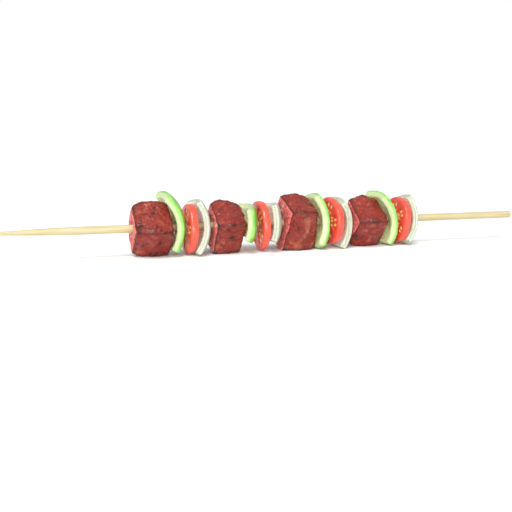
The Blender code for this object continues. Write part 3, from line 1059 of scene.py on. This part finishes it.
def pale_floor(look):
    """A plain matt floor, with the faint mottle of coated board."""
    material, tree, shader = new_material("pale board", IOR=1.45, Specular_IOR_Level=0.0, Roughness=0.8)
    place = add(tree, "TexCoord").outputs["Object"]
    mottle = add(tree, "TexNoise", {"Vector": place, "Scale": per_mm(FLOOR_MOTTLE), "Detail": 3.0})
    tint = add(
        tree, "ValToRGB", {"Fac": mottle.outputs["Fac"]}, stops=[(0.40, grey(0.985)), (0.60, grey(1.0))]
    ).outputs["Color"]
    surface = add(
        tree, "Mix", {FACTOR: 1.0, COLOUR_A: look.floor, COLOUR_B: tint}, **MULTIPLIED
    ).outputs[MIXED]
    tree.links.new(surface, shader.inputs["Base Color"])
    return material


def make_floor(look):
    """A wide plain floor."""
    bpy.ops.object.select_all(action="DESELECT")
    bpy.ops.mesh.primitive_plane_add(size=FLOOR_SIZE)
    floor = bpy.context.object
    floor.name = "floor"
    floor.data.materials.append(pale_floor(look))


def make_lights(look):
    """A soft sun, a softbox, a low front light, and a white room that the camera sees as plain white."""
    sun = bpy.data.lights.new("sun", "SUN")
    sun.energy = look.sun_strength
    sun.angle = SUN_SPREAD
    place_light(sun, (0, 0, 1), SUN_TURN)
    add_softbox("softbox", look.softbox_power, SOFTBOX_PLACE, SOFTBOX_SIZE)
    add_softbox("front_light", look.front_power, FRONT_LIGHT_PLACE, FRONT_LIGHT_SIZE)
    world = bpy.data.worlds.new("white room")
    bpy.context.scene.world = world
    world.use_nodes = True
    tree = world.node_tree
    even = tree.nodes["Background"]
    even.inputs["Strength"].default_value = look.sky_strength
    even.inputs["Color"].default_value = grey(1)
    seen = add(tree, "Background", {"Color": grey(1), "Strength": 1.0}).outputs[0]
    ray = add(tree, "LightPath").outputs["Is Camera Ray"]
    room = add(tree, "MixShader", {0: ray, 1: even.outputs[0], 2: seen}).outputs[0]
    tree.links.new(room, tree.nodes["World Output"].inputs["Surface"])


def add_softbox(name, power, place, size):
    """A rectangular light that looks at the middle of the kebab."""
    softbox = bpy.data.lights.new(name, "AREA")
    softbox.shape = "RECTANGLE"
    softbox.size, softbox.size_y = size
    softbox.energy = power
    place_light(softbox, place, (STICK_MIDDLE - Vector(place)).to_track_quat("-Z", "Y").to_euler())


def place_light(light, place, turn):
    """Adds a lamp with the given light, place and turn."""
    lamp = bpy.data.objects.new(light.name, light)
    bpy.context.scene.collection.objects.link(lamp)
    lamp.location = place
    lamp.rotation_euler = turn


def make_camera():
    """The camera at the photograph's viewing angle."""
    lens = bpy.data.cameras.new("camera")
    lens.lens = CAMERA_LENS
    lens.sensor_width = CAMERA_SENSOR
    lens.clip_start = CAMERA_NEAREST
    camera = bpy.data.objects.new("camera", lens)
    bpy.context.scene.collection.objects.link(camera)
    level = math.cos(CAMERA_ELEVATION)
    ahead = Vector(
        (math.sin(CAMERA_AZIMUTH) * level, math.cos(CAMERA_AZIMUTH) * level, -math.sin(CAMERA_ELEVATION))
    )
    camera.location = CAMERA_PLACE
    camera.rotation_euler = ahead.to_track_quat("-Z", "Y").to_euler()
    bpy.context.scene.camera = camera


class KEBAB_OT_lamb(bpy.types.Operator):
    """Dresses the four cubes of lamb"""

    bl_idname = "kebab.lamb"
    bl_label = "Lamb"

    def execute(self, context):
        look = context.scene.kebab.lamb
        material = seared_lamb(look)
        for index in SETS:
            make_lamb(index, look, material)
        return {"FINISHED"}


class KEBAB_OT_pepper(bpy.types.Operator):
    """Dresses the four pieces of green pepper"""

    bl_idname = "kebab.pepper"
    bl_label = "Green pepper"

    def execute(self, context):
        look = context.scene.kebab.pepper
        material = pepper_wall(look)
        for index in SETS:
            make_pepper(index, look, material)
        return {"FINISHED"}


class KEBAB_OT_tomato(bpy.types.Operator):
    """Dresses the four slices of tomato"""

    bl_idname = "kebab.tomato"
    bl_label = "Tomato"

    def execute(self, context):
        look = context.scene.kebab.tomato
        material = ripe_tomato(look)
        for index in SETS:
            make_tomato(index, look, material)
        return {"FINISHED"}


class KEBAB_OT_onion(bpy.types.Operator):
    """Dresses the four petals of onion"""

    bl_idname = "kebab.onion"
    bl_label = "Onion"

    def execute(self, context):
        look = context.scene.kebab.onion
        material = onion_petal(look)
        for index in SETS:
            make_onion(index, look, material)
        return {"FINISHED"}


class KEBAB_OT_stick(bpy.types.Operator):
    """Models the bamboo stick"""

    bl_idname = "kebab.stick"
    bl_label = "Stick"

    def execute(self, context):
        look = context.scene.kebab.stick
        make_stick(look, turned_bamboo(look))
        return {"FINISHED"}


class KEBAB_OT_stage(bpy.types.Operator):
    """Sets up floor, light and camera"""

    bl_idname = "kebab.stage"
    bl_label = "Stage"

    def execute(self, context):
        look = context.scene.kebab.stage
        make_floor(look)
        make_lights(look)
        make_camera()
        context.scene.view_settings.view_transform = "Standard"
        return {"FINISHED"}


OPERATORS = (KEBAB_OT_lamb, KEBAB_OT_pepper, KEBAB_OT_tomato, KEBAB_OT_onion, KEBAB_OT_stick, KEBAB_OT_stage)


class KEBAB_PT_panel(bpy.types.Panel):
    """Lists the kebab's pieces"""

    bl_idname = "KEBAB_PT_panel"
    bl_label = "Kebab"
    bl_space_type = "VIEW_3D"
    bl_region_type = "UI"
    bl_category = "Kebab"

    def draw(self, context):
        for operator in OPERATORS:
            self.layout.operator(operator.bl_idname)
            group = getattr(context.scene.kebab, operator.bl_idname.split(".")[1])
            for name in group.bl_rna.properties.keys():
                if name not in ("rna_type", "name"):
                    self.layout.prop(group, name)


CLASSES = (
    LambSettings,
    PepperSettings,
    TomatoSettings,
    OnionSettings,
    StickSettings,
    StageSettings,
    KebabSettings,
    *OPERATORS,
    KEBAB_PT_panel,
)


def register():
    """Makes the settings, operators and panel known."""
    for kind in CLASSES:
        bpy.utils.register_class(kind)
    bpy.types.Scene.kebab = PointerProperty(name="Kebab", type=KebabSettings)


def unregister():
    """Takes them away again."""
    del bpy.types.Scene.kebab
    for kind in reversed(CLASSES):
        bpy.utils.unregister_class(kind)


def main():
    """Makes the settings known, and runs the operators in order."""
    register()
    bpy.ops.kebab.lamb()
    bpy.ops.kebab.pepper()
    bpy.ops.kebab.tomato()
    bpy.ops.kebab.onion()
    bpy.ops.kebab.stick()
    bpy.ops.kebab.stage()


if __name__ == "__main__":
    main()
